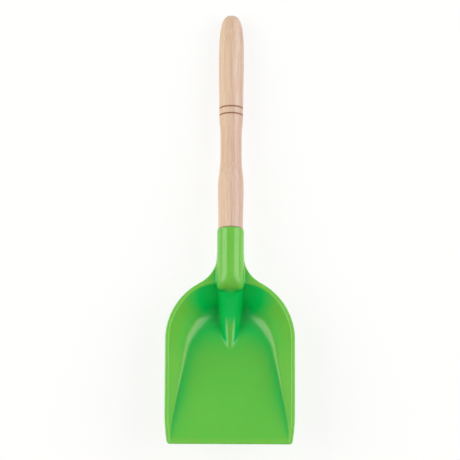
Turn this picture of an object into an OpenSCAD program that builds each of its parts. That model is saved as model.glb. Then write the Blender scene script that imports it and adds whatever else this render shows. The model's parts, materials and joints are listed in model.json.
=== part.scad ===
// Sand shovel: a moulded scoop with a blind socket, a turned wooden handle and one fixing screw.
// It lies on level ground on the heel of the scoop and the end of the handle, open side up,
// with the handle pointing along +Y and the origin on the ground under the middle of its length.
// Each piece is drawn level with the rim first: y runs from the front edge along the handle's axis,
// z is square to the rim's top face, and the axis lies in that face.

/* [Scoop] */
// Width between the inner edges of the rim
pan_w = 114; // [96:1:130]
// Length of the sides, from the front edge to where the arched back begins
side_len = 95.6; // [75:0.1:105]
// How far the centres of the arch's two arcs lie past the middle line
arch_offset = 1.5; // [1:0.5:10]
// Slope of the floor below the rim, which makes the scoop deeper towards the back
floor_angle = 16; // [12:0.5:19]
// Lean of the walls, measured from square to the rim
wall_lean = 28; // [20:1:34]
// How far the front edge reaches past the rim's inner corners
front_reach = 4; // [3:0.1:6]
// Radius of the front corners in plan
front_corner_r = 2.5; // [1.5:0.1:3]
// Thickness of the floor
floor_t = 2.6; // [2:0.1:4]
// Thickness of the walls
wall_t = 2.4; // [1.8:0.1:3]
// Largest radius between wall and floor, at the back
pan_fillet = 15; // [8:1:20]
// Length of the front stretch over which the sides draw in
bow_len = 27; // [15:1:40]
// How far each side draws in at the front edge
bow_in = 2; // [0.5:0.25:4]

/* [Rim] */
// Width of the rim's top face
rim_w = 3.5; // [2.5:0.1:5]
// Thickness of the rim
rim_t = 2.7; // [2:0.1:4]
// Radius on the rim's edges
rim_r = 0.9; // [0.3:0.1:1.2]
// Radius of the rim's inner edge at the front corners
corner_r = 0.6; // [0.3:0.1:3]

/* [Socket] */
// Distance from the front edge to the socket's mouth
mouth_y = 201; // [190:1:220]
// Outer diameter of the socket
socket_d = 25.2; // [24.6:0.1:28]
// Length of the socket from its mouth to its nose
socket_len = 59.6; // [56:0.1:70]
// Length over which the top of the nose curves down
nose_len = 15; // [10:0.5:18]
// Radius on the edge of the nose
nose_r = 4.5; // [2:0.5:6]
// Radius on the edge of the mouth
mouth_r = 0.9; // [0.3:0.1:1]
// Radius of the neck between the rim and the socket
neck_r = 32; // [20:1:40]
// Diameter of the bore at the mouth
bore_d = 20.2; // [18:0.1:21]
// How much narrower the bore is at its bottom
bore_taper = 0.6; // [0.2:0.1:1.5]
// Depth of the bore
bore_depth = 46; // [40:1:50]

/* [Ridge] */
// Distance from the socket's nose to the tip of the ridge
ridge_len = 50.4; // [40:0.1:60]
// Width of the ridge
ridge_w = 24.2; // [20:0.2:24.2]

/* [Handle] */
// Length of the handle outside the socket
grip_len = 213.5; // [180:0.5:260]
// Diameter at the socket's mouth
root_d = 23.2; // [22:0.1:24]
// Diameter of the swell near the socket
swell_d = 24.4; // [22:0.1:28]
// Distance of the swell from the mouth
swell_at = 42; // [30:1:50]
// Diameter of the waist
waist_d = 20.1; // [17:0.1:22]
// Distance from the mouth to the start of the waist
waist_from = 70; // [60:1:76]
// Length of the straight waist
waist_len = 22; // [14:1:26]
// Diameter at the burnt rings
ring_d = 22.6; // [20:0.1:26]
// Distance from the mouth to the first burnt ring
ring_at = 112.3; // [108:0.1:120]
// Distance between the two burnt rings
ring_step = 6.9; // [5:0.1:10]
// Width of a burnt ring's groove
ring_w = 1.2; // [0.6:0.1:2]
// Depth of a burnt ring's groove
ring_depth = 0.5; // [0.2:0.1:1]
// Diameter of the belly
belly_d = 23.8; // [22:0.1:30]
// Distance of the belly from the mouth
belly_at = 165; // [135:1:172]
// Fullness of the domed end: 2 is an ellipse, more is squarer
dome_power = 3.2; // [2:0.1:4]

/* [Fixing] */
// Diameter of the screw's shank
screw_d = 3; // [2.5:0.1:4]
// Diameter of the screw's head
screw_head_d = 5.6; // [5:0.1:7]
// Length of the screw
screw_len = 12; // [8:0.5:14]
// Distance of the screw from the socket's mouth
screw_at = 18; // [12:0.5:26]
// Clearance round the tenon
tenon_gap = 0.1; // [0.05:0.01:0.2]
// Clearance round the screw
screw_gap = 0.1; // [0.05:0.01:0.2]

/* [Hidden] */
$fn = 96;

plastic_green = "#62bb47";
beech = "#d8b69a";
zinc = "#b8bcc0";

// Scoop: slopes, and thicknesses measured along the vertical or square to the outline
floor_slope = tan(floor_angle);
wall_slope = tan(wall_lean);
floor_drop = floor_t / cos(floor_angle);
wall_across = wall_t / cos(wall_lean);
half_w = pan_w / 2;
arch_r = half_w + arch_offset;
arch_top = sqrt(arch_r * arch_r - arch_offset * arch_offset);
bow_r = (bow_len * bow_len + bow_in * bow_in) / (2 * bow_in);
floor_run = 0.6 * side_len;
lip_share = 0.9;

// Socket and neck
socket_r = socket_d / 2;
nose_y = mouth_y - socket_len;
neck_sunk = 0.5;
neck_edge = socket_r - neck_sunk;
neck_x = neck_edge + neck_r;
neck_reach = arch_r + rim_w + neck_r;
neck_angle = acos((neck_x + arch_offset) / neck_reach);
neck_y = side_len + neck_reach * sin(neck_angle);
inside_angle = acos((neck_edge + arch_offset) / arch_r);

// Steps along the outline and round the edges
corner_steps = 4;
bow_steps = 5;
side_steps = 6;
arch_steps = 30;
fillet_steps = 6;
edge_steps = 2;
nose_steps = 6;

// The floor meets the level of the rim just behind the front edge
lip_reach = front_reach - rim_r;
function floor_z(y) = -(y + lip_reach) * floor_slope;

// A station on the rim's inner edge, right half: its place, its outward direction, the rim's outer edge there
function station(place, out) = [place, out, place + rim_w * out];

// A front corner's arc: where its middle lies across, and how far it has to turn to meet the bow
function corner_across(side_r, along, r) = half_w - bow_r + sqrt(pow(side_r - r, 2) - pow(along, 2));
function corner_bow(side_r, along, r) = asin(along / (side_r - r));
corner_x = corner_across(bow_r, bow_len - corner_r, corner_r);
bow_angle = corner_bow(bow_r, bow_len - corner_r, corner_r);
outer_along = bow_len + front_reach - front_corner_r;
outer_x = corner_across(bow_r + rim_w, outer_along, front_corner_r);
outer_angle = corner_bow(bow_r + rim_w, outer_along, front_corner_r);

front_stations = [for (f = [0, 0.5]) [[f * corner_x, 0], [0, -1], [f * corner_x, -front_reach]]];
corner_stations = [
    for (i = [0 : corner_steps])
        let (
            a = -90 + i / corner_steps * (90 - bow_angle),
            b = -90 + i / corner_steps * (90 - outer_angle),
            out = [cos(a), sin(a)]
        )
        [
            [corner_x, corner_r] + corner_r * out,
            out,
            [outer_x, front_corner_r - front_reach] + front_corner_r * [cos(b), sin(b)]
        ]
];
bow_stations = [
    for (i = [1 : bow_steps])
        let (a = -bow_angle * (1 - i / bow_steps), out = [cos(a), sin(a)])
        station([half_w - bow_r, bow_len] + bow_r * out, out)
];
side_stations = [
    for (i = [1 : side_steps - 1])
        station([half_w, bow_len + i / side_steps * (side_len - bow_len)], [1, 0])
];

// The rim's outer edge along the arch runs out into the neck, and ends inside the socket
function neck_point(a) =
    let (turn = 180 + neck_angle * (inside_angle - a) / (inside_angle - neck_angle))
    [neck_x, neck_y] + neck_r * [cos(turn), sin(turn)];
function arch_outer(a, place, out) =
    a < neck_angle ? place + rim_w * out
    : a < inside_angle ? neck_point(a)
    : [place.x, neck_y];
arch_end = acos(arch_offset / arch_r);
arch_stations = [
    for (i = [0 : arch_steps])
        let (
            a = arch_end * i / arch_steps,
            out = i < arch_steps ? [cos(a), sin(a)] : [0, 1],
            place = [-arch_offset, side_len] + arch_r * [cos(a), sin(a)]
        )
        [place, out, arch_outer(a, place, out)]
];

function mirrored(s) = [for (v = s) [-v.x, v.y]];
right_stations = concat(front_stations, corner_stations, bow_stations, side_stations, arch_stations);
last_station = len(right_stations) - 1;
stations = concat(right_stations, [for (i = [last_station - 1 : -1 : 1]) mirrored(right_stations[i])]);

// An arc that rounds the corner p between a and c, kept within 0.45 of either side
function unit(v) = v / norm(v);
function rounded(a, p, c, r, steps) =
    let (
        u = unit(a - p),
        v = unit(c - p),
        half = acos(max(-1, min(1, u * v))) / 2,
        reach = min(r / tan(half), 0.45 * norm(a - p), 0.45 * norm(c - p)),
        radius = reach * tan(half),
        middle = p + unit(u + v) * radius / sin(half),
        from = p + u * reach - middle,
        to = p + v * reach - middle,
        start = atan2(from.y, from.x),
        swing = atan2(to.y, to.x) - start,
        turn = swing > 180 ? swing - 360 : swing < -180 ? swing + 360 : swing
    )
    [for (i = [0 : steps]) middle + radius * [cos(start + turn * i / steps), sin(start + turn * i / steps)]];

// The wall's section at a station: [distance inwards, height] from the floor over the rim to the underside
function section(s) =
    let (
        y = s[0].y,
        inward_y = -s[1].y,
        rim_reach = norm(s[2] - s[0]),
        spread = 1 / wall_slope - inward_y * floor_slope,
        foot_in = -floor_z(y) / spread,
        foot = [foot_in, -foot_in / wall_slope],
        heel_in = (floor_drop - floor_z(y) - wall_across / wall_slope) / spread,
        heel = [heel_in, -(heel_in + wall_across) / wall_slope],
        along = [1, -inward_y * floor_slope],
        top_in = [-lip_share * lip_reach * pow(max(0, inward_y), 2), 0],
        top_out = [-rim_reach, 0],
        under_out = [-rim_reach, max(-rim_t, floor_z(s[2].y) - floor_drop)],
        under_in = [rim_t * wall_slope - wall_across, -rim_t],
        depth_share = min(1, -foot.y / (arch_top * floor_slope))
    )
    concat(
        rounded(foot + floor_run * along, foot, top_in, pan_fillet * depth_share, fillet_steps),
        rounded(foot, top_in, top_out, rim_r, edge_steps),
        rounded(top_in, top_out, under_out, rim_r, edge_steps),
        rounded(top_out, under_out, under_in, rim_r, edge_steps),
        [under_in],
        rounded(under_in, heel, heel + floor_run * along, pan_fillet * depth_share + wall_t, fillet_steps)
    );

// The same section set up at its station
function placed(s, q) =
    let (way = q.x < 0 ? unit(s[2] - s[0]) : s[1], flat = s[0] - way * q.x)
    [flat.x, flat.y, q.y];
rings = [for (s = stations) [for (q = section(s)) placed(s, q)]];

// A skin over a closed loop of rings, closed by a flat face at each end
module skin(rings) {
    n = len(rings);
    k = len(rings[0]);
    points = [for (ring = rings) each ring];
    sides = [
        for (i = [0 : n - 1])
            let (j = (i + 1) % n)
            for (p = [0 : k - 2])
                each [
                    [i * k + p, j * k + p + 1, i * k + p + 1],
                    [i * k + p, j * k + p, j * k + p + 1]
                ]
    ];
    ends = [[for (i = [n - 1 : -1 : 0]) i * k], [for (i = [0 : n - 1]) i * k + k - 1]];
    polyhedron(points, concat(sides, ends));
}

module pan() {
    skin(rings);
}

// Ridge: a rod as round as the socket, bent down along an arc until its crest dips into the floor,
// where a cone with round ends carries it on to the tip
tip_dip = 0.12;
tip_r = 3.5;
tip_rise = 0.75;
cone_len = 16;
cone_sunk = 0.4;
ridge_half = ridge_w / 2;
tip_y = nose_y - ridge_len;
tip = [tip_y, floor_z(tip_y) - tip_dip];
nose_edge = [nose_y, (socket_r - nose_r) / 6];
floor_up = [sin(floor_angle), cos(floor_angle)];
rise = nose_edge - tip;
crest_r = (rise * rise) / (2 * (rise * floor_up));
crest_middle = tip + crest_r * floor_up;
bend_r = crest_r + ridge_half;
bend_start = atan2(-floor_up.y, -floor_up.x);
bend_over = 1;
bend_turn = atan2(nose_edge.y - crest_middle.y, nose_edge.x - crest_middle.x) + bend_over - bend_start;
hollow_r = ridge_half - floor_t - 2 * tip_dip;
rod_sides = 44;
bend_sides = 60;

module bent_rod(r) {
    translate([0, crest_middle.x, crest_middle.y])
        rotate([90, 0, 90])
            rotate(bend_start)
                rotate_extrude(angle = bend_turn, $fn = bend_sides)
                    translate([bend_r, 0])
                        circle(r, $fn = rod_sides);
}

// A ball that stands out of the floor by its rise, at a distance behind the start of the bend
module floor_ball(along, r, up) {
    at = [tip_y, floor_z(tip_y)] + along * [cos(floor_angle), -sin(floor_angle)] + (up - r) * floor_up;
    translate([0, at.x, at.y])
        sphere(r, $fn = rod_sides);
}

module tip_cone() {
    crest_rise = norm([crest_r, cone_len]) - crest_r;
    hull() {
        floor_ball(tip_r, tip_r, tip_rise);
        floor_ball(cone_len, ridge_half - cone_sunk, crest_rise - cone_sunk);
    }
}

// How far a point lies from the middle line of the bent rod
function off_rod(p) = norm([norm([p.y, p.z] - crest_middle) - bend_r, p.x]);

// The space within the middle of the pan's walls and floor, carried up past the edge of the nose
module pan_within() {
    top = nose_edge.y + rim_t;
    outer = len(rings[0]) - 1 - fillet_steps;
    walls = [
        for (i = [0 : len(stations) - 1])
            concat(
                [placed(stations[i], [-wall_across / 2 - top * wall_slope, top])],
                [for (f = [0 : fillet_steps]) (rings[i][fillet_steps - f] + rings[i][outer + f]) / 2]
            )
    ];
    skin(walls);
}

module ridge() {
    intersection() {
        union() {
            bent_rod(ridge_half);
            tip_cone();
        }
        pan_within();
    }
}

// The hollow that the ridge leaves behind it, open to the underside and the back
module ridge_hollow() {
    bent_rod(hollow_r);
}

// Turns a profile of [radius, distance along the axis] about the handle's axis
module turned(profile) {
    rotate([-90, 0, 0])
        rotate_extrude()
            polygon(profile);
}

// The side view of the socket: its top curves down to the nose along a quarter of an ellipse
module socket_side() {
    crown_steps = 16;
    clear = 0.1;
    over = socket_d;
    front = nose_y - clear;
    rotate([90, 0, 90])
        linear_extrude(2 * over, center = true)
            polygon(concat(
                [[mouth_y + over, over], [mouth_y + over, -over], [front, -over]],
                [
                    for (i = [0 : crown_steps])
                        let (a = 90 * i / crown_steps)
                        [front + nose_len * (1 - cos(a)), (socket_r + clear) * sin(a)]
                ],
                [[front + nose_len, over]]
            ));
}

module socket() {
    edge = [for (i = [0 : nose_steps]) 90 * i / nose_steps];
    nose = [for (a = edge) [socket_r - nose_r + nose_r * sin(a), nose_y + nose_r - nose_r * cos(a)]];
    mouth = [for (a = edge) [socket_r - mouth_r + mouth_r * cos(a), mouth_y - mouth_r + mouth_r * sin(a)]];
    intersection() {
        turned(concat([[0, nose_y]], nose, mouth, [[0, mouth_y]]));
        socket_side();
    }
}

// Radius of the bore at a depth below the mouth, and of the tenon that fits it
function bore_r(depth) = (bore_d - bore_taper * depth / bore_depth) / 2;
function tenon_r(depth) = bore_r(depth) - tenon_gap;

module bore() {
    over = 1;
    bottom = mouth_y - bore_depth;
    turned([[0, bottom], [bore_r(bore_depth), bottom], [bore_r(-over), mouth_y + over], [0, mouth_y + over]]);
}

// Screw: it stands in the middle plane, its head sunk just below the underside of the socket
screw_r = screw_d / 2;
screw_head_r = screw_head_d / 2;
head_edge = 0.3;
head_sunk = socket_r - sqrt(socket_r * socket_r - screw_head_r * screw_head_r);
screw_z = -socket_r + head_sunk;

module at_screw() {
    translate([0, mouth_y - screw_at, screw_z])
        children();
}

// A countersunk shape about +Z, head face at z = 0, grown by a gap, its head carried on below by a drop
module countersunk(gap, drop) {
    r = screw_r + gap;
    head_r = screw_head_r + gap;
    cone_top = head_edge + head_r - r;
    rotate_extrude()
        polygon([
            [0, -drop],
            [head_r, -drop],
            [head_r, head_edge],
            [r, cone_top],
            [r, screw_len - r + gap],
            [0, screw_len + gap]
        ]);
}

module screw_hole() {
    at_screw()
        countersunk(screw_gap, socket_r);
}

// Handle: radius of the grip at a distance from the mouth
function eased(from, to, share) = from + (to - from) * (1 - cos(180 * share)) / 2;
function between(y, a, b) = (y - a) / (b - a);
waist_to = waist_from + waist_len;
function grip_r(y) =
    y < swell_at ? eased(root_d, swell_d, y / swell_at) / 2
    : y < waist_from ? eased(swell_d, waist_d, between(y, swell_at, waist_from)) / 2
    : y < waist_to ? waist_d / 2
    : y < ring_at ? eased(waist_d, ring_d, between(y, waist_to, ring_at)) / 2
    : y < belly_at ? eased(ring_d, belly_d, between(y, ring_at, belly_at)) / 2
    : belly_d / 2 * pow(max(0, 1 - pow(between(y, belly_at, grip_len), dome_power)), 1 / dome_power);

// Distances along the grip: even steps over each stretch, then closer and closer steps over the dome
function stretch(a, b, steps) = [for (i = [0 : steps - 1]) a + (b - a) * i / steps];
dome_steps = 22;
grip_places = concat(
    stretch(0, swell_at, 8),
    stretch(swell_at, waist_from, 8),
    [waist_from],
    stretch(waist_to, ring_at, 7),
    stretch(ring_at, belly_at, 9),
    [for (i = [0 : dome_steps - 1]) belly_at + (grip_len - belly_at) * sin(90 * i / dome_steps)]
);
grip_profile = concat([for (y = grip_places) [grip_r(y), mouth_y + y]], [[0, mouth_y + grip_len]]);

module tenon_and_grip() {
    end_gap = 1;
    chamfer = 1;
    tenon_len = bore_depth - end_gap;
    end_y = mouth_y - tenon_len;
    turned(concat(
        [
            [0, end_y],
            [tenon_r(tenon_len) - chamfer, end_y],
            [tenon_r(tenon_len - chamfer), end_y + chamfer],
            [tenon_r(0), mouth_y]
        ],
        grip_profile
    ));
}

module burnt_ring(y) {
    r = grip_r(y);
    over = 2 * ring_depth;
    half = ring_w / 2 * (ring_depth + over) / ring_depth;
    turned([
        [r - ring_depth, mouth_y + y],
        [r + over, mouth_y + y - half],
        [r + over, mouth_y + y + half]
    ]);
}

// Lying on the ground: the slope at which the heel and the handle's end touch it together
heel_points = [for (ring = rings) for (p = ring) if (off_rod(p) > hollow_r) p];
grip_points = [for (q = grip_profile) [0, q.y, -q.x]];
function lowest(points, slope) = min([for (p = points) p.z * cos(slope) - p.y * sin(slope)]);
function resting_slope(low, high, steps) =
    let (middle = (low + high) / 2)
    steps == 0 ? middle
    : lowest(heel_points, middle) < lowest(grip_points, middle) ? resting_slope(middle, high, steps - 1)
    : resting_slope(low, middle, steps - 1);
lie_angle = resting_slope(0, 45, 24);
ground = lowest(grip_points, lie_angle);
front_end = min([for (p = heel_points) p.y * cos(lie_angle) + p.z * sin(lie_angle)]);
back_end = max([for (q = grip_profile) q.y * cos(lie_angle) + q.x * sin(lie_angle)]);

module laid() {
    translate([0, -(front_end + back_end) / 2, -ground])
        rotate([-lie_angle, 0, 0])
            children();
}

// The moulding, joined as one skin before it is bored
module moulding() {
    resize([0, 0, 0])
        union() {
            difference() {
                union() {
                    pan();
                    ridge();
                }
                ridge_hollow();
            }
            socket();
        }
}

module blade() {
    color(plastic_green)
        laid()
            difference() {
                moulding();
                bore();
                screw_hole();
            }
}

module handle() {
    color(beech)
        laid()
            difference() {
                tenon_and_grip();
                burnt_ring(ring_at);
                burnt_ring(ring_at + ring_step);
                screw_hole();
            }
}

module screw() {
    slot_w = 0.9;
    slot_len = 3;
    slot_depth = 1;
    color(zinc)
        laid()
            at_screw()
                difference() {
                    countersunk(0, 0);
                    for (turn = [0, 90])
                        rotate(turn)
                            translate([-slot_len / 2, -slot_w / 2, -1])
                                cube([slot_len, slot_w, 1 + slot_depth]);
                }
}

blade();
handle();
screw();
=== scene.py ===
import json
import math

import bpy
import numpy as np
from mathutils import Matrix, Vector


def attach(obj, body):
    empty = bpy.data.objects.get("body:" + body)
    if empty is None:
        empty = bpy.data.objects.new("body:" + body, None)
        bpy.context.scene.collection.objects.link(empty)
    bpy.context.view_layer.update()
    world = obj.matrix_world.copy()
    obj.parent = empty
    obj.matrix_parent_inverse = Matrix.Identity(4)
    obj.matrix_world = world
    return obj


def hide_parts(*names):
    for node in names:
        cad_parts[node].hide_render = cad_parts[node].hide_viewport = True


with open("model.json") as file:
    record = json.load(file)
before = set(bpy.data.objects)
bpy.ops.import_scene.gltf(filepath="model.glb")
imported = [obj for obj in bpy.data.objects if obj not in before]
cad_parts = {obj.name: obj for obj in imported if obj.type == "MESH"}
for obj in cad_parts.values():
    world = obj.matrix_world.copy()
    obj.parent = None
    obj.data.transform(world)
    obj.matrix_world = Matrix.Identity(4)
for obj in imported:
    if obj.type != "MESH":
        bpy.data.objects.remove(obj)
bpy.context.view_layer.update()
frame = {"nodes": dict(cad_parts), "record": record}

# A sand shovel: a moulded green scoop with a socket, a turned beech handle with two burnt rings,
# and the CAD's own fixing screw. Sizes are millimetres, level with the rim as in the CAD: y runs from
# the front edge along the handle's axis, z is square to the rim's top face, and the axis lies in it.
MM = 0.001

# Scoop
HALF_W = 57.0
SIDE_LEN = 95.6
ARCH_OFFSET = 1.5
FLOOR_ANGLE = math.radians(16)
WALL_LEAN = math.radians(28)
FRONT_REACH = 3.93
FRONT_CORNER_R = 2.5
FLOOR_T = 2.6
WALL_T = 2.4
PAN_FILLET = 15.0
FULL_FILLET_AT = 122.0
FILLET_GROWTH = 2.0
BOW_LEN = 27.0
BOW_IN = 2.0
RIM_W = 3.5
RIM_T = 2.7
RIM_R = 0.9
RIM_WIDENING = 2.4
WIDENS_FROM, WIDENS_OVER = 36.0, 22.0

LIP_REACH = FRONT_REACH - RIM_R
FLOOR_SLOPE = math.tan(FLOOR_ANGLE)
WALL_SLOPE = math.tan(WALL_LEAN)
ARCH_R = HALF_W + ARCH_OFFSET
BOW_R = (BOW_LEN**2 + BOW_IN**2) / (2 * BOW_IN)

# Socket and neck
SOCKET_R = 12.6
MOUTH_Y = 201.0
NOSE_Y = 142.4
NOSE_LEN = 15.0
NOSE_R = 4.5
NOSE_SOFTENING = 9.0
MOUTH_R = 0.9
BORE_R = 10.1
BORE_NARROWING = 0.3
BORE_DEPTH = 46.0
NECK_R = 32.0
NECK_EDGE = SOCKET_R - 0.5
NECK_X = NECK_EDGE + NECK_R
NECK_REACH = ARCH_R + RIM_W + NECK_R
NECK_TURN = math.acos((NECK_X + ARCH_OFFSET) / NECK_REACH)
NECK_Y = SIDE_LEN + NECK_REACH * math.sin(NECK_TURN)

# Ridge: a rod bent down from the socket, tapering towards the tip where its crest runs into the floor
RIDGE_HALF = 12.1
TIP_R = 5.5
TAPER_LEN = 44.0
TIP_SLOPE = math.radians(7.5)
HOLLOW_R = 8.8
TIP_Y = 91.0
TIP_Z = -(TIP_Y + LIP_REACH) * FLOOR_SLOPE
NOSE_EDGE = 1.35
PAN_BOTTOM = -46.0


def crest_arc(slope):
    """Middle and radius of the arc that leaves the tip falling at a slope and climbs to the nose's edge."""
    rise_y, rise_z = NOSE_Y - TIP_Y, NOSE_EDGE - TIP_Z
    up_y, up_z = math.sin(slope), math.cos(slope)
    radius = (rise_y**2 + rise_z**2) / (2 * (rise_y * up_y + rise_z * up_z))
    return TIP_Y + radius * up_y, TIP_Z + radius * up_z, radius


RIDGE_ARC = crest_arc(TIP_SLOPE)
HOLLOW_ARC = crest_arc(FLOOR_ANGLE)

# Fillets of the moulding, where its forms meet
RIDGE_CREASE = 1.4
TIP_CREASE = 0.15
CREASE_RUN = 12.0
SOCKET_CREASE = 1.6
WALL_CREASE = 0.8
HOLLOW_EDGE = 0.5

# Painted shade: a deeper green painted where shade falls, behind and beside the ridge: its middle and how far
# it reaches
SHADE_MIDDLE = (0.0, 140.0, -12.0)
SHADE_HALVES = (66.0, 38.0, 120.0)
PAINTED_SHADE_GREEN = (0, 0.560, 0.105)

# Screw, from the underside
SCREW_Y = MOUTH_Y - 18
SCREW_HOLE_R = 1.6
HEAD_R = 2.8
HEAD_HOLE_R = 2.9
HEAD_SUNK = 0.3
SCREW_Z = -math.sqrt(SOCKET_R**2 - HEAD_R**2)
SCREW_CONE = HEAD_HOLE_R + HEAD_SUNK

# Handle: [distance from the mouth, diameter] along the grip
GRIP_LEN = 212.6
GRIP_TURNS = [(0, 23.2), (42, 24.4), (70, 20.1), (92, 20.1), (112.3, 22.6), (165, 23.8)]
DOME_POWER = 3.2
RINGS_AT = (112.3, 119.2)
RING_HALF = 0.6
RING_DEPTH = 0.5
TENON_GAP = 0.1
TENON_LEN = 45.0
TENON_CHAMFER = 1.0
WAIST_ENDS = (GRIP_TURNS[2][0], GRIP_TURNS[3][0])

# How finely the meshes are drawn
GRID_STEP = 0.75
GRID_MARGIN = 3 * GRID_STEP
GRIP_STEP = 1.5
GRIP_SIDES = 144
RING_STEPS = 9
DOME_STEPS = 44

# The photo's frame: millimetres a pixel, the camera's tilt and roll about the socket's mouth
PIXEL_MM = 0.94
IMAGE_PIXELS = 460
CAMERA_TILT = math.radians(15.8)
CAMERA_ROLL = math.radians(0.27)
CAMERA_DISTANCE = 3000.0
CAMERA_SHIFT = Vector((-0.6, 0, 0))

# The lie of the shovel, from the clamp place in the middle of the grip's waist
WAIST_Y = MOUTH_Y + sum(WAIST_ENDS) / 2
waist = next(m for m in frame["record"]["mounts"] if m["name"] == "grip_waist")
lie_angle = -math.atan2(waist["axis"][2], waist["axis"][1])
LAID = (
    Matrix.Translation(Vector(waist["pos_m"]))
    @ Matrix.Rotation(-lie_angle, 4, "X")
    @ Matrix.Translation((0, -WAIST_Y * MM, 0))
)


def cut_round(a, b, r):
    """Distance field of the overlap of two bodies, with the edge between them rounded."""
    return np.minimum(-r, np.maximum(a, b)) + np.hypot(np.maximum(a + r, 0), np.maximum(b + r, 0))


def join_round(a, b, r):
    """Distance field of two bodies together, with a fillet between them."""
    return np.maximum(r, np.minimum(a, b)) - np.hypot(np.maximum(r - a, 0), np.maximum(r - b, 0))


def cut_wedge(a, b, cosine, r):
    """Overlap of two flat-sided bodies whose outward directions have that cosine, rounded to radius r."""
    a, b = a + r, b + r
    edge = np.sqrt(np.maximum(a * a + b * b - 2 * cosine * a * b, 0) / (1 - cosine**2))
    at_edge = (a > cosine * b) & (b > cosine * a)
    return np.where(at_edge, edge, np.maximum(a, b)) - r


def rim_side(x, y):
    """Distance in plan to the rim's inner edge, and how far that edge faces the back."""
    arch_y = y - SIDE_LEN
    arch = np.hypot(x + ARCH_OFFSET, arch_y)
    bow = np.hypot(x - HALF_W + BOW_R, y - BOW_LEN)
    side = np.where(y > SIDE_LEN, arch - ARCH_R, np.where(y < BOW_LEN, bow - BOW_R, x - HALF_W))
    facing = np.where(y > SIDE_LEN, arch_y / np.maximum(arch, 1), 0)
    return side, facing


def rim_plan(x, y, side):
    """Distance in plan to the rim's outer edge, which runs out along the neck to the socket."""
    strip = np.maximum(np.maximum(x - NECK_EDGE, y - NECK_Y), SIDE_LEN - y)
    plain = np.minimum(cut_round(side - RIM_W, -y - FRONT_REACH, FRONT_CORNER_R), strip)
    turn = np.arctan2(NECK_Y - y, NECK_X - x)
    in_neck = (turn > 0) & (turn < NECK_TURN)
    return np.where(in_neck, NECK_R - np.hypot(x - NECK_X, y - NECK_Y), plain)


def socket_field(y, z, radius):
    """Distance to the unbored socket, whose top curves down to the nose along a quarter of an ellipse."""
    u = np.maximum(NOSE_Y + NOSE_LEN - y, 0) / NOSE_LEN
    v = np.maximum(z, 0) / SOCKET_R
    round_up = np.hypot(u, v)
    steep = np.maximum(np.hypot(u / NOSE_LEN, v / SOCKET_R), 1e-6)
    crown = np.where(round_up > 1e-3, (round_up - 1) * round_up / steep, -SOCKET_R)
    cosine = np.clip(z / np.maximum(radius, 0.1) * (v / SOCKET_R) / steep, 0, 0.95)
    nose = cut_wedge(radius - SOCKET_R, crown, cosine, NOSE_R + NOSE_SOFTENING * cosine)
    return cut_round(nose, y - MOUTH_Y, MOUTH_R)


def pan_fields(x, y, z):
    """Distances to the scoop's cavity, to the outside of its walls and floor, and to the pan with its rim."""
    side, facing = rim_side(x, y)
    plan = rim_plan(x, y, side)
    beside_socket = np.where(y > SIDE_LEN, np.clip((WIDENS_FROM - x) / WIDENS_OVER, 0, 1), 0)
    wall = (side + RIM_WIDENING * beside_socket**2 - z * WALL_SLOPE) * math.cos(WALL_LEAN)
    floor = (-(y + LIP_REACH) * FLOOR_SLOPE - z) * math.cos(FLOOR_ANGLE)
    level_part = math.sin(WALL_LEAN) * math.cos(FLOOR_ANGLE)
    cosine = level_part - math.sin(FLOOR_ANGLE) * math.cos(WALL_LEAN) * facing
    fillet = PAN_FILLET * np.clip((y + LIP_REACH) / FULL_FILLET_AT, 0.2, 1) ** FILLET_GROWTH
    cavity = cut_wedge(wall, floor, cosine, fillet)
    outside = cut_wedge(wall - WALL_T, floor - FLOOR_T, cosine, fillet + WALL_T)
    full = cut_round(join_round(outside, -RIM_T - z, WALL_CREASE), plan, RIM_R)
    pan = cut_round(cut_round(full, z, RIM_R), -cavity, RIM_R)
    return cavity, outside, pan


def bent_rod(x, y, z, arc, radius):
    """Distance to a rod whose crest follows an arc in the middle plane."""
    middle_y, middle_z, crest_r = arc
    return np.hypot(np.hypot(y - middle_y, z - middle_z) - crest_r - radius, x) - radius


def ridge_fields(x, y, z):
    """Distances to the ridge and the hollow behind it, carried on below the floor, and the ridge's fillet."""
    along = (y - TIP_Y) * math.cos(FLOOR_ANGLE) - (z - TIP_Z) * math.sin(FLOOR_ANGLE)
    radius = TIP_R + (RIDGE_HALF - TIP_R) * np.clip(along / TAPER_LEN, 0, 1)
    span = np.maximum(-along - TIP_R, z - NOSE_EDGE)
    ridge = np.maximum(bent_rod(x, y, z, RIDGE_ARC, radius), span)
    rod = bent_rod(x, y, z, HOLLOW_ARC, RIDGE_HALF) + RIDGE_HALF - HOLLOW_R
    hollow = np.maximum(rod, np.maximum(-along, z - NOSE_EDGE))
    crease = TIP_CREASE + (RIDGE_CREASE - TIP_CREASE) * np.clip(along / CREASE_RUN, 0, 1)
    return ridge, hollow, crease


def blade_field(x, y, z):
    """Signed distance to the moulded blade, negative inside the plastic."""
    x = np.abs(x)
    cavity, outside, pan = pan_fields(x, y, z)
    ridge, hollow, crease = ridge_fields(x, y, z)
    ridge = np.maximum(ridge, (cavity + outside) / 2)
    body = cut_round(join_round(pan, ridge, crease), -hollow, HOLLOW_EDGE)

    radius = np.hypot(x, z)
    body = join_round(body, socket_field(y, z, radius), SOCKET_CREASE)
    depth = MOUTH_Y - y
    bore = np.maximum(radius - BORE_R + BORE_NARROWING * depth / BORE_DEPTH, depth - BORE_DEPTH)
    from_screw = np.hypot(x, y - SCREW_Y)
    head = np.maximum((from_screw + z - SCREW_Z - SCREW_CONE) * math.sqrt(0.5), from_screw - HEAD_HOLE_R)
    shank = np.maximum(from_screw - SCREW_HOLE_R, z)
    return np.maximum(np.maximum(body, -bore), -np.minimum(head, shank))


def slope_of(field, points, reach=0.02):
    """The field's gradient at each point."""
    parts = []
    for axis in np.eye(3) * reach:
        parts.append((field(*(points + axis).T) - field(*(points - axis).T)) / (2 * reach))
    return np.stack(parts, axis=1)


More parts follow.
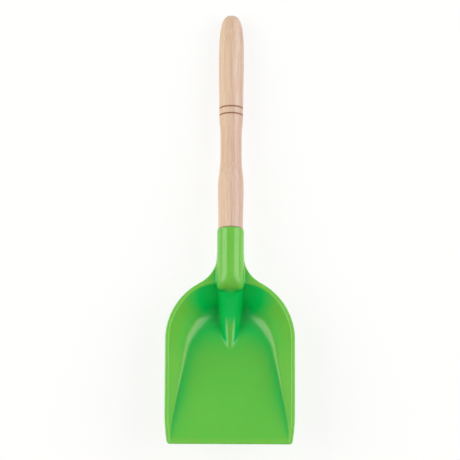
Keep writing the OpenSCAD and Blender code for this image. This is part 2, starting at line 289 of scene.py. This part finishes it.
def surface_net(field, low, high, step):
    """Vertices, normals and quads of the field's zero surface, from a grid of even steps."""
    counts = np.ceil((np.subtract(high, low)) / step).astype(int) + 1
    axes = [low[i] + step * np.arange(counts[i]) for i in range(3)]
    values = field(*np.meshgrid(*axes, indexing="ij"))
    inside = values < 0

    cells = counts - 1
    total = np.zeros((*cells, 3))
    crossings = np.zeros(cells)
    quads = []
    for axis in range(3):
        others = [(axis + 1) % 3, (axis + 2) % 3]
        near = [slice(None)] * 3
        far = [slice(None)] * 3
        near[axis], far[axis] = slice(0, -1), slice(1, None)
        a, b = values[tuple(near)], values[tuple(far)]
        crossed = (a < 0) != (b < 0)
        share = np.where(crossed, a / np.where(crossed, a - b, 1), 0)
        for shift in np.ndindex(2, 2):
            corner = [slice(None)] * 3
            offset = np.zeros(3)
            for other, s in zip(others, shift):
                corner[other] = slice(s, cells[other] + s)
                offset[other] = s
            hit = crossed[tuple(corner)]
            crossings += hit
            for i in range(3):
                total[..., i] += hit * offset[i]
            total[..., axis] += share[tuple(corner)]
        at = np.argwhere(crossed)
        keep = np.all([(at[:, o] > 0) & (at[:, o] < cells[o]) for o in others], axis=0)
        at = at[keep]
        loop = []
        for back in ((0, 0), (1, 0), (1, 1), (0, 1)):
            cell = at.copy()
            for other, s in zip(others, back):
                cell[:, other] -= s
            loop.append(np.ravel_multi_index(cell.T, cells))
        loop = np.stack(loop, axis=1)
        flip = ~inside[tuple(at.T)]
        loop[flip] = loop[flip][:, ::-1]
        quads.append(loop)

    used = crossings.ravel() > 0
    index = np.cumsum(used) - 1
    corner = np.argwhere(used.reshape(cells))
    points = np.array(low) + step * (corner + total[used.reshape(cells)] / crossings.ravel()[used][:, None])
    for _ in range(4):
        slope = slope_of(field, points)
        size = np.maximum((slope**2).sum(axis=1), 0.25)
        move = slope * (field(*points.T) / size)[:, None]
        points -= np.clip(move, -step / 2, step / 2)
    normals = slope_of(field, points)
    normals /= np.maximum(np.linalg.norm(normals, axis=1), 1e-6)[:, None]
    return points, normals, index[np.concatenate(quads)]


def add_piece(name, points, faces, node, material, normals=None):
    """A mesh piece drawn level with the rim, laid on the ground in place of its CAD node."""
    lie = np.array(LAID)
    turn, shift = lie[:3, :3], lie[:3, 3]
    mesh = bpy.data.meshes.new(name)
    mesh.from_pydata((np.asarray(points) * MM @ turn.T + shift).tolist(), [], faces)
    mesh.polygons.foreach_set("use_smooth", [True] * len(mesh.polygons))
    if normals is not None:
        mesh.normals_split_custom_set_from_vertices((normals @ turn.T).tolist())
    mesh.materials.append(material)
    piece = bpy.data.objects.new(name, mesh)
    bpy.context.scene.collection.objects.link(piece)
    bpy.context.view_layer.update()
    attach(piece, "root")
    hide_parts(node)


def make_blade(material):
    """The moulding, from its distance field."""
    side = HALF_W + RIM_W + GRID_MARGIN
    low = (-side, -FRONT_REACH - GRID_MARGIN, PAN_BOTTOM)
    high = (side, MOUTH_Y + GRID_MARGIN, SOCKET_R + GRID_MARGIN)
    points, normals, quads = surface_net(blade_field, low, high, GRID_STEP)
    add_piece("blade_moulding", points, quads.tolist(), "blade", material, normals)


def eased(a, b, share):
    """A value between a and b that leaves and arrives without a kink."""
    return a + (b - a) * (1 - math.cos(math.pi * share)) / 2


def grip_radius(y):
    """Radius of the handle at a distance from the socket's mouth, without the burnt rings."""
    for (y0, d0), (y1, d1) in zip(GRIP_TURNS, GRIP_TURNS[1:]):
        if y <= y1:
            return eased(d0, d1, (y - y0) / (y1 - y0)) / 2
    belly_at, belly_d = GRIP_TURNS[-1]
    share = (y - belly_at) / (GRIP_LEN - belly_at)
    return belly_d / 2 * max(0, 1 - share**DOME_POWER) ** (1 / DOME_POWER)


def ring_depth(y):
    """How deep the burnt rings are cut at a distance from the mouth."""
    nearest = min(abs(y - at) for at in RINGS_AT)
    return RING_DEPTH * (1 + math.cos(math.pi * nearest / RING_HALF)) / 2 if nearest < RING_HALF else 0


def tenon_radius(depth):
    """Radius of the tenon at a depth in the tapered bore."""
    return BORE_R - BORE_NARROWING * depth / BORE_DEPTH - TENON_GAP


def make_handle(material):
    """The handle, turned about its axis from the end of its tenon to its dome."""
    belly_at = GRIP_TURNS[-1][0]
    plain = list(np.arange(0, belly_at, GRIP_STEP))
    near_rings = [at + d for at in RINGS_AT for d in np.linspace(-RING_HALF, RING_HALF, RING_STEPS)]
    turns = np.linspace(0, 0.496 * math.pi, DOME_STEPS)
    dome = [belly_at + (GRIP_LEN - belly_at) * math.sin(turn) for turn in turns]
    places = sorted({round(float(y), 4) for y in plain + near_rings + dome})
    profile = [
        (tenon_radius(TENON_LEN) - TENON_CHAMFER, MOUTH_Y - TENON_LEN),
        (tenon_radius(TENON_LEN - TENON_CHAMFER), MOUTH_Y - TENON_LEN + TENON_CHAMFER),
        (tenon_radius(0), MOUTH_Y),
    ]
    profile += [(grip_radius(y) - ring_depth(y), MOUTH_Y + y) for y in places]
    sides = GRIP_SIDES
    around = [2 * math.pi * k / sides for k in range(sides)]
    points = [(r * math.sin(turn), y, r * math.cos(turn)) for r, y in profile for turn in around]
    faces = []
    for i in range(len(profile) - 1):
        for k in range(sides):
            n = (k + 1) % sides
            faces.append((i * sides + k, i * sides + n, (i + 1) * sides + n, (i + 1) * sides + k))
    last = (len(profile) - 1) * sides
    faces.append(tuple(range(sides))[::-1])
    faces.append(tuple(last + k for k in range(sides)))
    add_piece("handle_turned", points, faces, "handle", material)


class Shader:
    """A node material under construction, with one Principled shader."""

    def __init__(self, name):
        self.material = bpy.data.materials.new(name)
        self.material.use_nodes = True
        self.tree = self.material.node_tree
        self.surface = self.tree.nodes["Principled BSDF"]

    def node(self, kind, inputs=None, **settings):
        made = self.tree.nodes.new(kind)
        for key, value in settings.items():
            setattr(made, key, value)
        for key, value in (inputs or {}).items():
            if isinstance(value, bpy.types.NodeSocket):
                self.tree.links.new(value, made.inputs[key])
            else:
                made.inputs[key].default_value = value
        return made

    def place(self, scale):
        """Coordinates level with the rim, stretched by a scale along each axis."""
        from_lie = LAID.inverted()
        coordinates = self.node("ShaderNodeTexCoord").outputs["Object"]
        level = self.node(
            "ShaderNodeMapping",
            {"Vector": coordinates, "Rotation": from_lie.to_euler(), "Location": from_lie.translation},
        )
        return self.stretch(level.outputs["Vector"], scale)

    def stretch(self, vector, scale, shift=(0, 0, 0)):
        """Coordinates scaled along each axis and then shifted."""
        made = self.node("ShaderNodeMapping", {"Vector": vector, "Scale": scale, "Location": shift})
        return made.outputs["Vector"]

    def noise(self, vector, scale, detail=2.0, roughness=0.5):
        made = self.node(
            "ShaderNodeTexNoise",
            {"Vector": vector, "Scale": scale, "Detail": detail, "Roughness": roughness},
        )
        return made.outputs["Fac"]

    def apart(self, vector):
        """The X, Y and Z of a vector."""
        return self.node("ShaderNodeSeparateXYZ", {"Vector": vector}).outputs

    def openness(self, reach):
        """How open a point is within a reach, from 0 in a closed corner to 1 on an outer face."""
        made = self.node("ShaderNodeAmbientOcclusion", {"Distance": reach}, samples=16, only_local=True)
        return made.outputs["AO"]

    def ramp(self, value, stops):
        made = self.node("ShaderNodeValToRGB", {"Fac": value})
        elements = made.color_ramp.elements
        while len(elements) < len(stops):
            elements.new(0.5)
        for element, (position, colour) in zip(elements, stops):
            element.position = position
            element.color = (*colour, 1)
        return made.outputs["Color"]

    def spread(self, value, low, high, start=0.0, end=1.0):
        """The value from start to end spread over low to high."""
        limits = {"From Min": start, "From Max": end, "To Min": low, "To Max": high}
        return self.node("ShaderNodeMapRange", {"Value": value, **limits}).outputs["Result"]

    def math(self, operation, a, b=None):
        made = self.node("ShaderNodeMath", operation=operation)
        for socket, value in zip(made.inputs, (a, b)):
            if isinstance(value, bpy.types.NodeSocket):
                self.tree.links.new(value, socket)
            elif value is not None:
                socket.default_value = value
        return made.outputs["Value"]

    def mix(self, share, a, b, blend="MIX"):
        made = self.node("ShaderNodeMix", data_type="RGBA", blend_type=blend)
        for key, value in (("Factor_Float", share), ("A_Color", a), ("B_Color", b)):
            socket = next(s for s in made.inputs if s.identifier == key)
            if isinstance(value, bpy.types.NodeSocket):
                self.tree.links.new(value, socket)
            else:
                socket.default_value = value if key == "Factor_Float" else (*value, 1)
        return next(s for s in made.outputs if s.identifier == "Result_Color")

    def bump(self, height, strength, distance, normal=None):
        inputs = {"Height": height, "Strength": strength, "Distance": distance}
        if normal is not None:
            inputs["Normal"] = normal
        return self.node("ShaderNodeBump", inputs).outputs["Normal"]

    def set(self, **inputs):
        for key, value in inputs.items():
            socket = self.surface.inputs[key.replace("_", " ")]
            if isinstance(value, bpy.types.NodeSocket):
                self.tree.links.new(value, socket)
            else:
                socket.default_value = value


def painted_shade_share(s, even, sideways, below_rim, on_floor):
    """How much painted shade, a deeper green, a point gets: behind and beside the ridge, in close corners and
    along the floor's edges.
    """
    openness = s.openness(70 * MM)
    shift = [-at / half for at, half in zip(SHADE_MIDDLE, SHADE_HALVES)]
    about_ridge = s.stretch(even, [1 / (half * MM) for half in SHADE_HALVES], shift)
    zone = s.node("ShaderNodeTexGradient", {"Vector": about_ridge}, gradient_type="SPHERICAL").outputs["Fac"]
    in_scoop = s.math("MULTIPLY", below_rim, s.spread(openness, 1, 0, 0.94, 0.99))
    by_socket = s.spread(openness, 0.8, 0, 0.74, 0.90)
    in_zone = s.spread(zone, 0, 1, 0.28, 0.54)
    behind = s.math("MULTIPLY", in_zone, s.math("MAXIMUM", in_scoop, by_socket))

    sunk = s.spread(openness, 0.95, 0, 0.50, 0.74)

    at_back = s.spread(openness, 0.9, 0, 0.63, 0.79)
    at_edges = s.spread(s.openness(22 * MM), 0.75, 0, 0.78, 0.95)
    along_floor = s.math("MULTIPLY", on_floor, s.math("MAXIMUM", at_back, at_edges))

    parts = s.apart(even)
    beside_axis = s.spread(s.math("ABSOLUTE", parts["X"]), 0, 1, 14 * MM, 12.5 * MM)
    before_nose = s.spread(parts["Y"], 0, 1, NOSE_Y * MM, (NOSE_Y - 8) * MM)
    near_ridge = s.math("MULTIPLY", beside_axis, before_nose)
    ridge_sides = s.math("MULTIPLY", s.spread(sideways, 0, 1, 0.25, 0.5), near_ridge)

    shaded = behind
    for share in (sunk, along_floor, ridge_sides):
        shaded = s.math("MAXIMUM", shaded, share)
    return shaded


def green_plastic():
    """Glossy moulded polypropylene: a green that light sinks into, with faint flow and fine scuffs; a
    yellower green is painted as light on the walls, rim and socket, and a deeper green as shade in the
    scoop's hollows.
    """
    s = Shader("green_plastic")
    even = s.place((1, 1, 1))
    flow = s.noise(s.place((1, 0.4, 1)), 18, detail=3)
    # Painted light: the walls, rim and socket take a yellower green than the floor, as if lit more strongly.
    painted_lit_green = s.ramp(flow, [(0.3, (0.166, 0.510, 0.062)), (0.7, (0.178, 0.530, 0.068))])
    floor_green = s.ramp(flow, [(0.3, (0.118, 0.495, 0.058)), (0.7, (0.130, 0.515, 0.064))])
    facing = s.apart(s.node("ShaderNodeNewGeometry").outputs["Normal"])
    sideways = s.math("ABSOLUTE", facing["X"])
    below_rim = s.spread(s.apart(even)["Z"], 0, 1, -0.3 * MM, -1.8 * MM)
    on_floor = s.math("MULTIPLY", s.spread(sideways, 1, 0, 0.2, 0.5), below_rim)
    colour = s.mix(on_floor, painted_lit_green, floor_green)
    # Painted shade: a deeper green painted into the hollows where shade falls.
    colour = s.mix(painted_shade_share(s, even, sideways, below_rim, on_floor), colour, PAINTED_SHADE_GREEN)
    scuffs = s.noise(s.place((1, 0.12, 1)), 900, detail=3, roughness=0.7)
    skin = s.noise(even, 2200, detail=2)
    waves = s.noise(even, 60, detail=1)
    normal = s.bump(waves, 0.05, 0.002)
    normal = s.bump(skin, 0.03, 0.0002, normal)
    s.set(
        Base_Color=colour,
        Roughness=s.spread(scuffs, 0.17, 0.25),
        Normal=normal,
        Specular_IOR_Level=0.5,
        Subsurface_Weight=0.7,
        Subsurface_Radius=(0.08, 1.0, 0.7),
        Subsurface_Scale=3 * MM,
    )
    return s.material


def beech_wood():
    """Lacquered beech with fine grain along the handle, ray flecks and two burnt rings, and a dark band
    painted as shadow just above the socket's mouth.
    """
    s = Shader("beech_wood")
    bands = s.noise(s.place((1, 0.02, 1)), 150, detail=4, roughness=0.6)
    tan = s.ramp(
        bands,
        [(0.3, (0.60, 0.415, 0.28)), (0.5, (0.70, 0.51, 0.365)), (0.72, (0.795, 0.615, 0.45))],
    )
    pink = s.ramp(
        bands,
        [(0.3, (0.585, 0.40, 0.32)), (0.5, (0.69, 0.505, 0.43)), (0.72, (0.775, 0.605, 0.53))],
    )
    even = s.place((1, 1, 1))
    parts = s.apart(even)
    drift = s.spread(s.noise(s.place((1, 0.1, 1)), 60), -6 * MM, 6 * MM)
    across = s.spread(s.math("ADD", parts["X"], drift), 0, 1, -4 * MM, 8 * MM)
    wood = s.mix(across, tan, pink)
    fine = s.noise(s.place((1, 0.02, 1)), 1500, detail=4, roughness=0.7)
    streaks = s.ramp(fine, [(0.36, (0.80, 0.70, 0.62)), (0.56, (1, 1, 1))])
    wood = s.mix(0.75, wood, streaks, "MULTIPLY")
    flecks = s.noise(s.place((1, 0.4, 1)), 700, detail=1)
    wood = s.mix(s.spread(flecks, 0, 0.55, 0.58, 0.72), wood, (0.68, 0.42, 0.22))

    along = parts["Y"]
    wander = s.spread(s.noise(even, 400), -0.15 * MM, 0.15 * MM)
    distances = []
    for at in RINGS_AT:
        past_ring = s.math("SUBTRACT", along, (MOUTH_Y + at) * MM)
        distances.append(s.math("ABSOLUTE", s.math("ADD", past_ring, wander)))
    nearest = s.math("MINIMUM", *distances)
    burn = s.ramp(
        s.math("DIVIDE", nearest, 2.0 * MM),
        [(0.20, (0.9, 0.9, 0.9)), (0.40, (0.3, 0.3, 0.3)), (0.7, (0, 0, 0))],
    )
    colour = s.mix(burn, wood, (0.26, 0.110, 0.045))
    # Painted shadow: a dark band on the wood just above the socket's mouth, where shade falls at the joint.
    painted_mouth_shadow = s.spread(along, 0.7, 0, (MOUTH_Y + 0.42) * MM, (MOUTH_Y + 1.4) * MM)
    colour = s.mix(painted_mouth_shadow, colour, (0.20, 0.13, 0.08))
    s.set(
        Base_Color=colour,
        Roughness=s.spread(fine, 0.38, 0.55),
        Normal=s.bump(fine, 0.12, 0.0002),
        Specular_IOR_Level=0.4,
    )
    return s.material


def zinc_steel():
    """Zinc-plated steel with turning marks."""
    s = Shader("zinc_steel")
    marks = s.noise(s.place((1, 1, 0.2)), 2500, detail=2)
    s.set(
        Base_Color=s.ramp(marks, [(0.3, (0.50, 0.52, 0.54)), (0.7, (0.62, 0.63, 0.64))]),
        Metallic=1.0,
        Roughness=s.spread(marks, 0.28, 0.45),
        Normal=s.bump(marks, 0.1, 0.0001),
    )
    return s.material


def pale_floor():
    """A pale matt floor that the camera sees nearly white, with the object's shadow left on it."""
    s = Shader("pale_floor")
    s.set(Base_Color=(0.93, 0.93, 0.925, 1), Roughness=0.9, Specular_IOR_Level=0.1)
    glow = s.node("ShaderNodeEmission", {"Color": (1.0, 1.0, 0.985, 1), "Strength": 1.0})
    paled = s.node("ShaderNodeMixShader", {"Fac": 0.82})
    path = s.node("ShaderNodeLightPath")
    seen = s.math("ADD", path.outputs["Is Camera Ray"], path.outputs["Is Glossy Ray"])
    seen = s.math("ADD", seen, path.outputs["Is Transmission Ray"])
    shown = s.node("ShaderNodeMixShader", {"Fac": seen})
    output = s.tree.nodes["Material Output"]
    for made, first, second in (
        (paled, s.surface.outputs["BSDF"], glow.outputs["Emission"]),
        (shown, s.surface.outputs["BSDF"], paled.outputs["Shader"]),
    ):
        s.tree.links.new(first, made.inputs[1])
        s.tree.links.new(second, made.inputs[2])
    s.tree.links.new(shown.outputs["Shader"], output.inputs["Surface"])
    return s.material


def dress_screw(material):
    """The CAD's screw keeps its shape."""
    screw = frame["nodes"]["screw"]
    screw.data.materials.clear()
    screw.data.materials.append(material)


def make_floor():
    """A flat floor under the shovel."""
    half = 3.0
    corners = [(-half, -half, 0), (half, -half, 0), (half, half, 0), (-half, half, 0)]
    mesh = bpy.data.meshes.new("floor")
    mesh.from_pydata(corners, [], [(0, 1, 2, 3)])
    mesh.materials.append(pale_floor())
    floor = bpy.data.objects.new("floor", mesh)
    bpy.context.scene.collection.objects.link(floor)


def aim(ob, eye, target, up):
    """Turns a lamp or camera at the eye towards the target, with up upwards in its view."""
    back = (eye - target).normalized()
    right = up.cross(back).normalized()
    true_up = back.cross(right)
    ob.matrix_world = Matrix((
        (right.x, true_up.x, back.x, eye.x),
        (right.y, true_up.y, back.y, eye.y),
        (right.z, true_up.z, back.z, eye.z),
        (0, 0, 0, 1),
    ))


def add_softbox(name, eye, size, power):
    """A rectangular lamp that faces the shovel's middle."""
    lamp = bpy.data.lights.new(name, "AREA")
    lamp.shape = "RECTANGLE"
    lamp.size, lamp.size_y = size
    lamp.energy = power
    lamp.color = (1.0, 0.98, 0.95)
    ob = bpy.data.objects.new(name, lamp)
    bpy.context.scene.collection.objects.link(ob)
    aim(ob, Vector(eye), Vector((0, 0, 0)), Vector((0, 1, 0)))


def light_studio():
    """Two large softboxes left and right in a dim even room."""
    world = bpy.data.worlds.new("studio")
    bpy.context.scene.world = world
    world.use_nodes = True
    background = world.node_tree.nodes["Background"]
    background.inputs["Color"].default_value = (0.95, 1, 1.02, 1)
    background.inputs["Strength"].default_value = 0.27
    for name, side in (("left_box", -1), ("right_box", 1)):
        add_softbox(name, eye=(side * 1.2, 0.10, 0.92), size=(1.35, 1.7), power=21.2)


def set_camera():
    """A long lens over the front of the scoop, its middle on the axis at the socket's mouth."""
    level = LAID.to_3x3()
    target = LAID @ ((Vector((0, MOUTH_Y, 0)) + CAMERA_SHIFT) * MM)
    towards = level @ Vector((0, -math.sin(CAMERA_TILT), math.cos(CAMERA_TILT)))
    data = bpy.data.cameras.new("camera")
    data.sensor_width = 36.0
    data.lens = data.sensor_width * CAMERA_DISTANCE / (PIXEL_MM * IMAGE_PIXELS)
    data.clip_end = 20
    camera = bpy.data.objects.new("camera", data)
    bpy.context.scene.collection.objects.link(camera)
    up = level @ Vector((-math.sin(CAMERA_ROLL), math.cos(CAMERA_ROLL), 0))
    aim(camera, target + towards * CAMERA_DISTANCE * MM, target, up)
    bpy.context.scene.camera = camera


make_blade(green_plastic())
make_handle(beech_wood())
dress_screw(zinc_steel())
make_floor()
light_studio()
set_camera()
bpy.context.scene.view_settings.view_transform = "Standard"
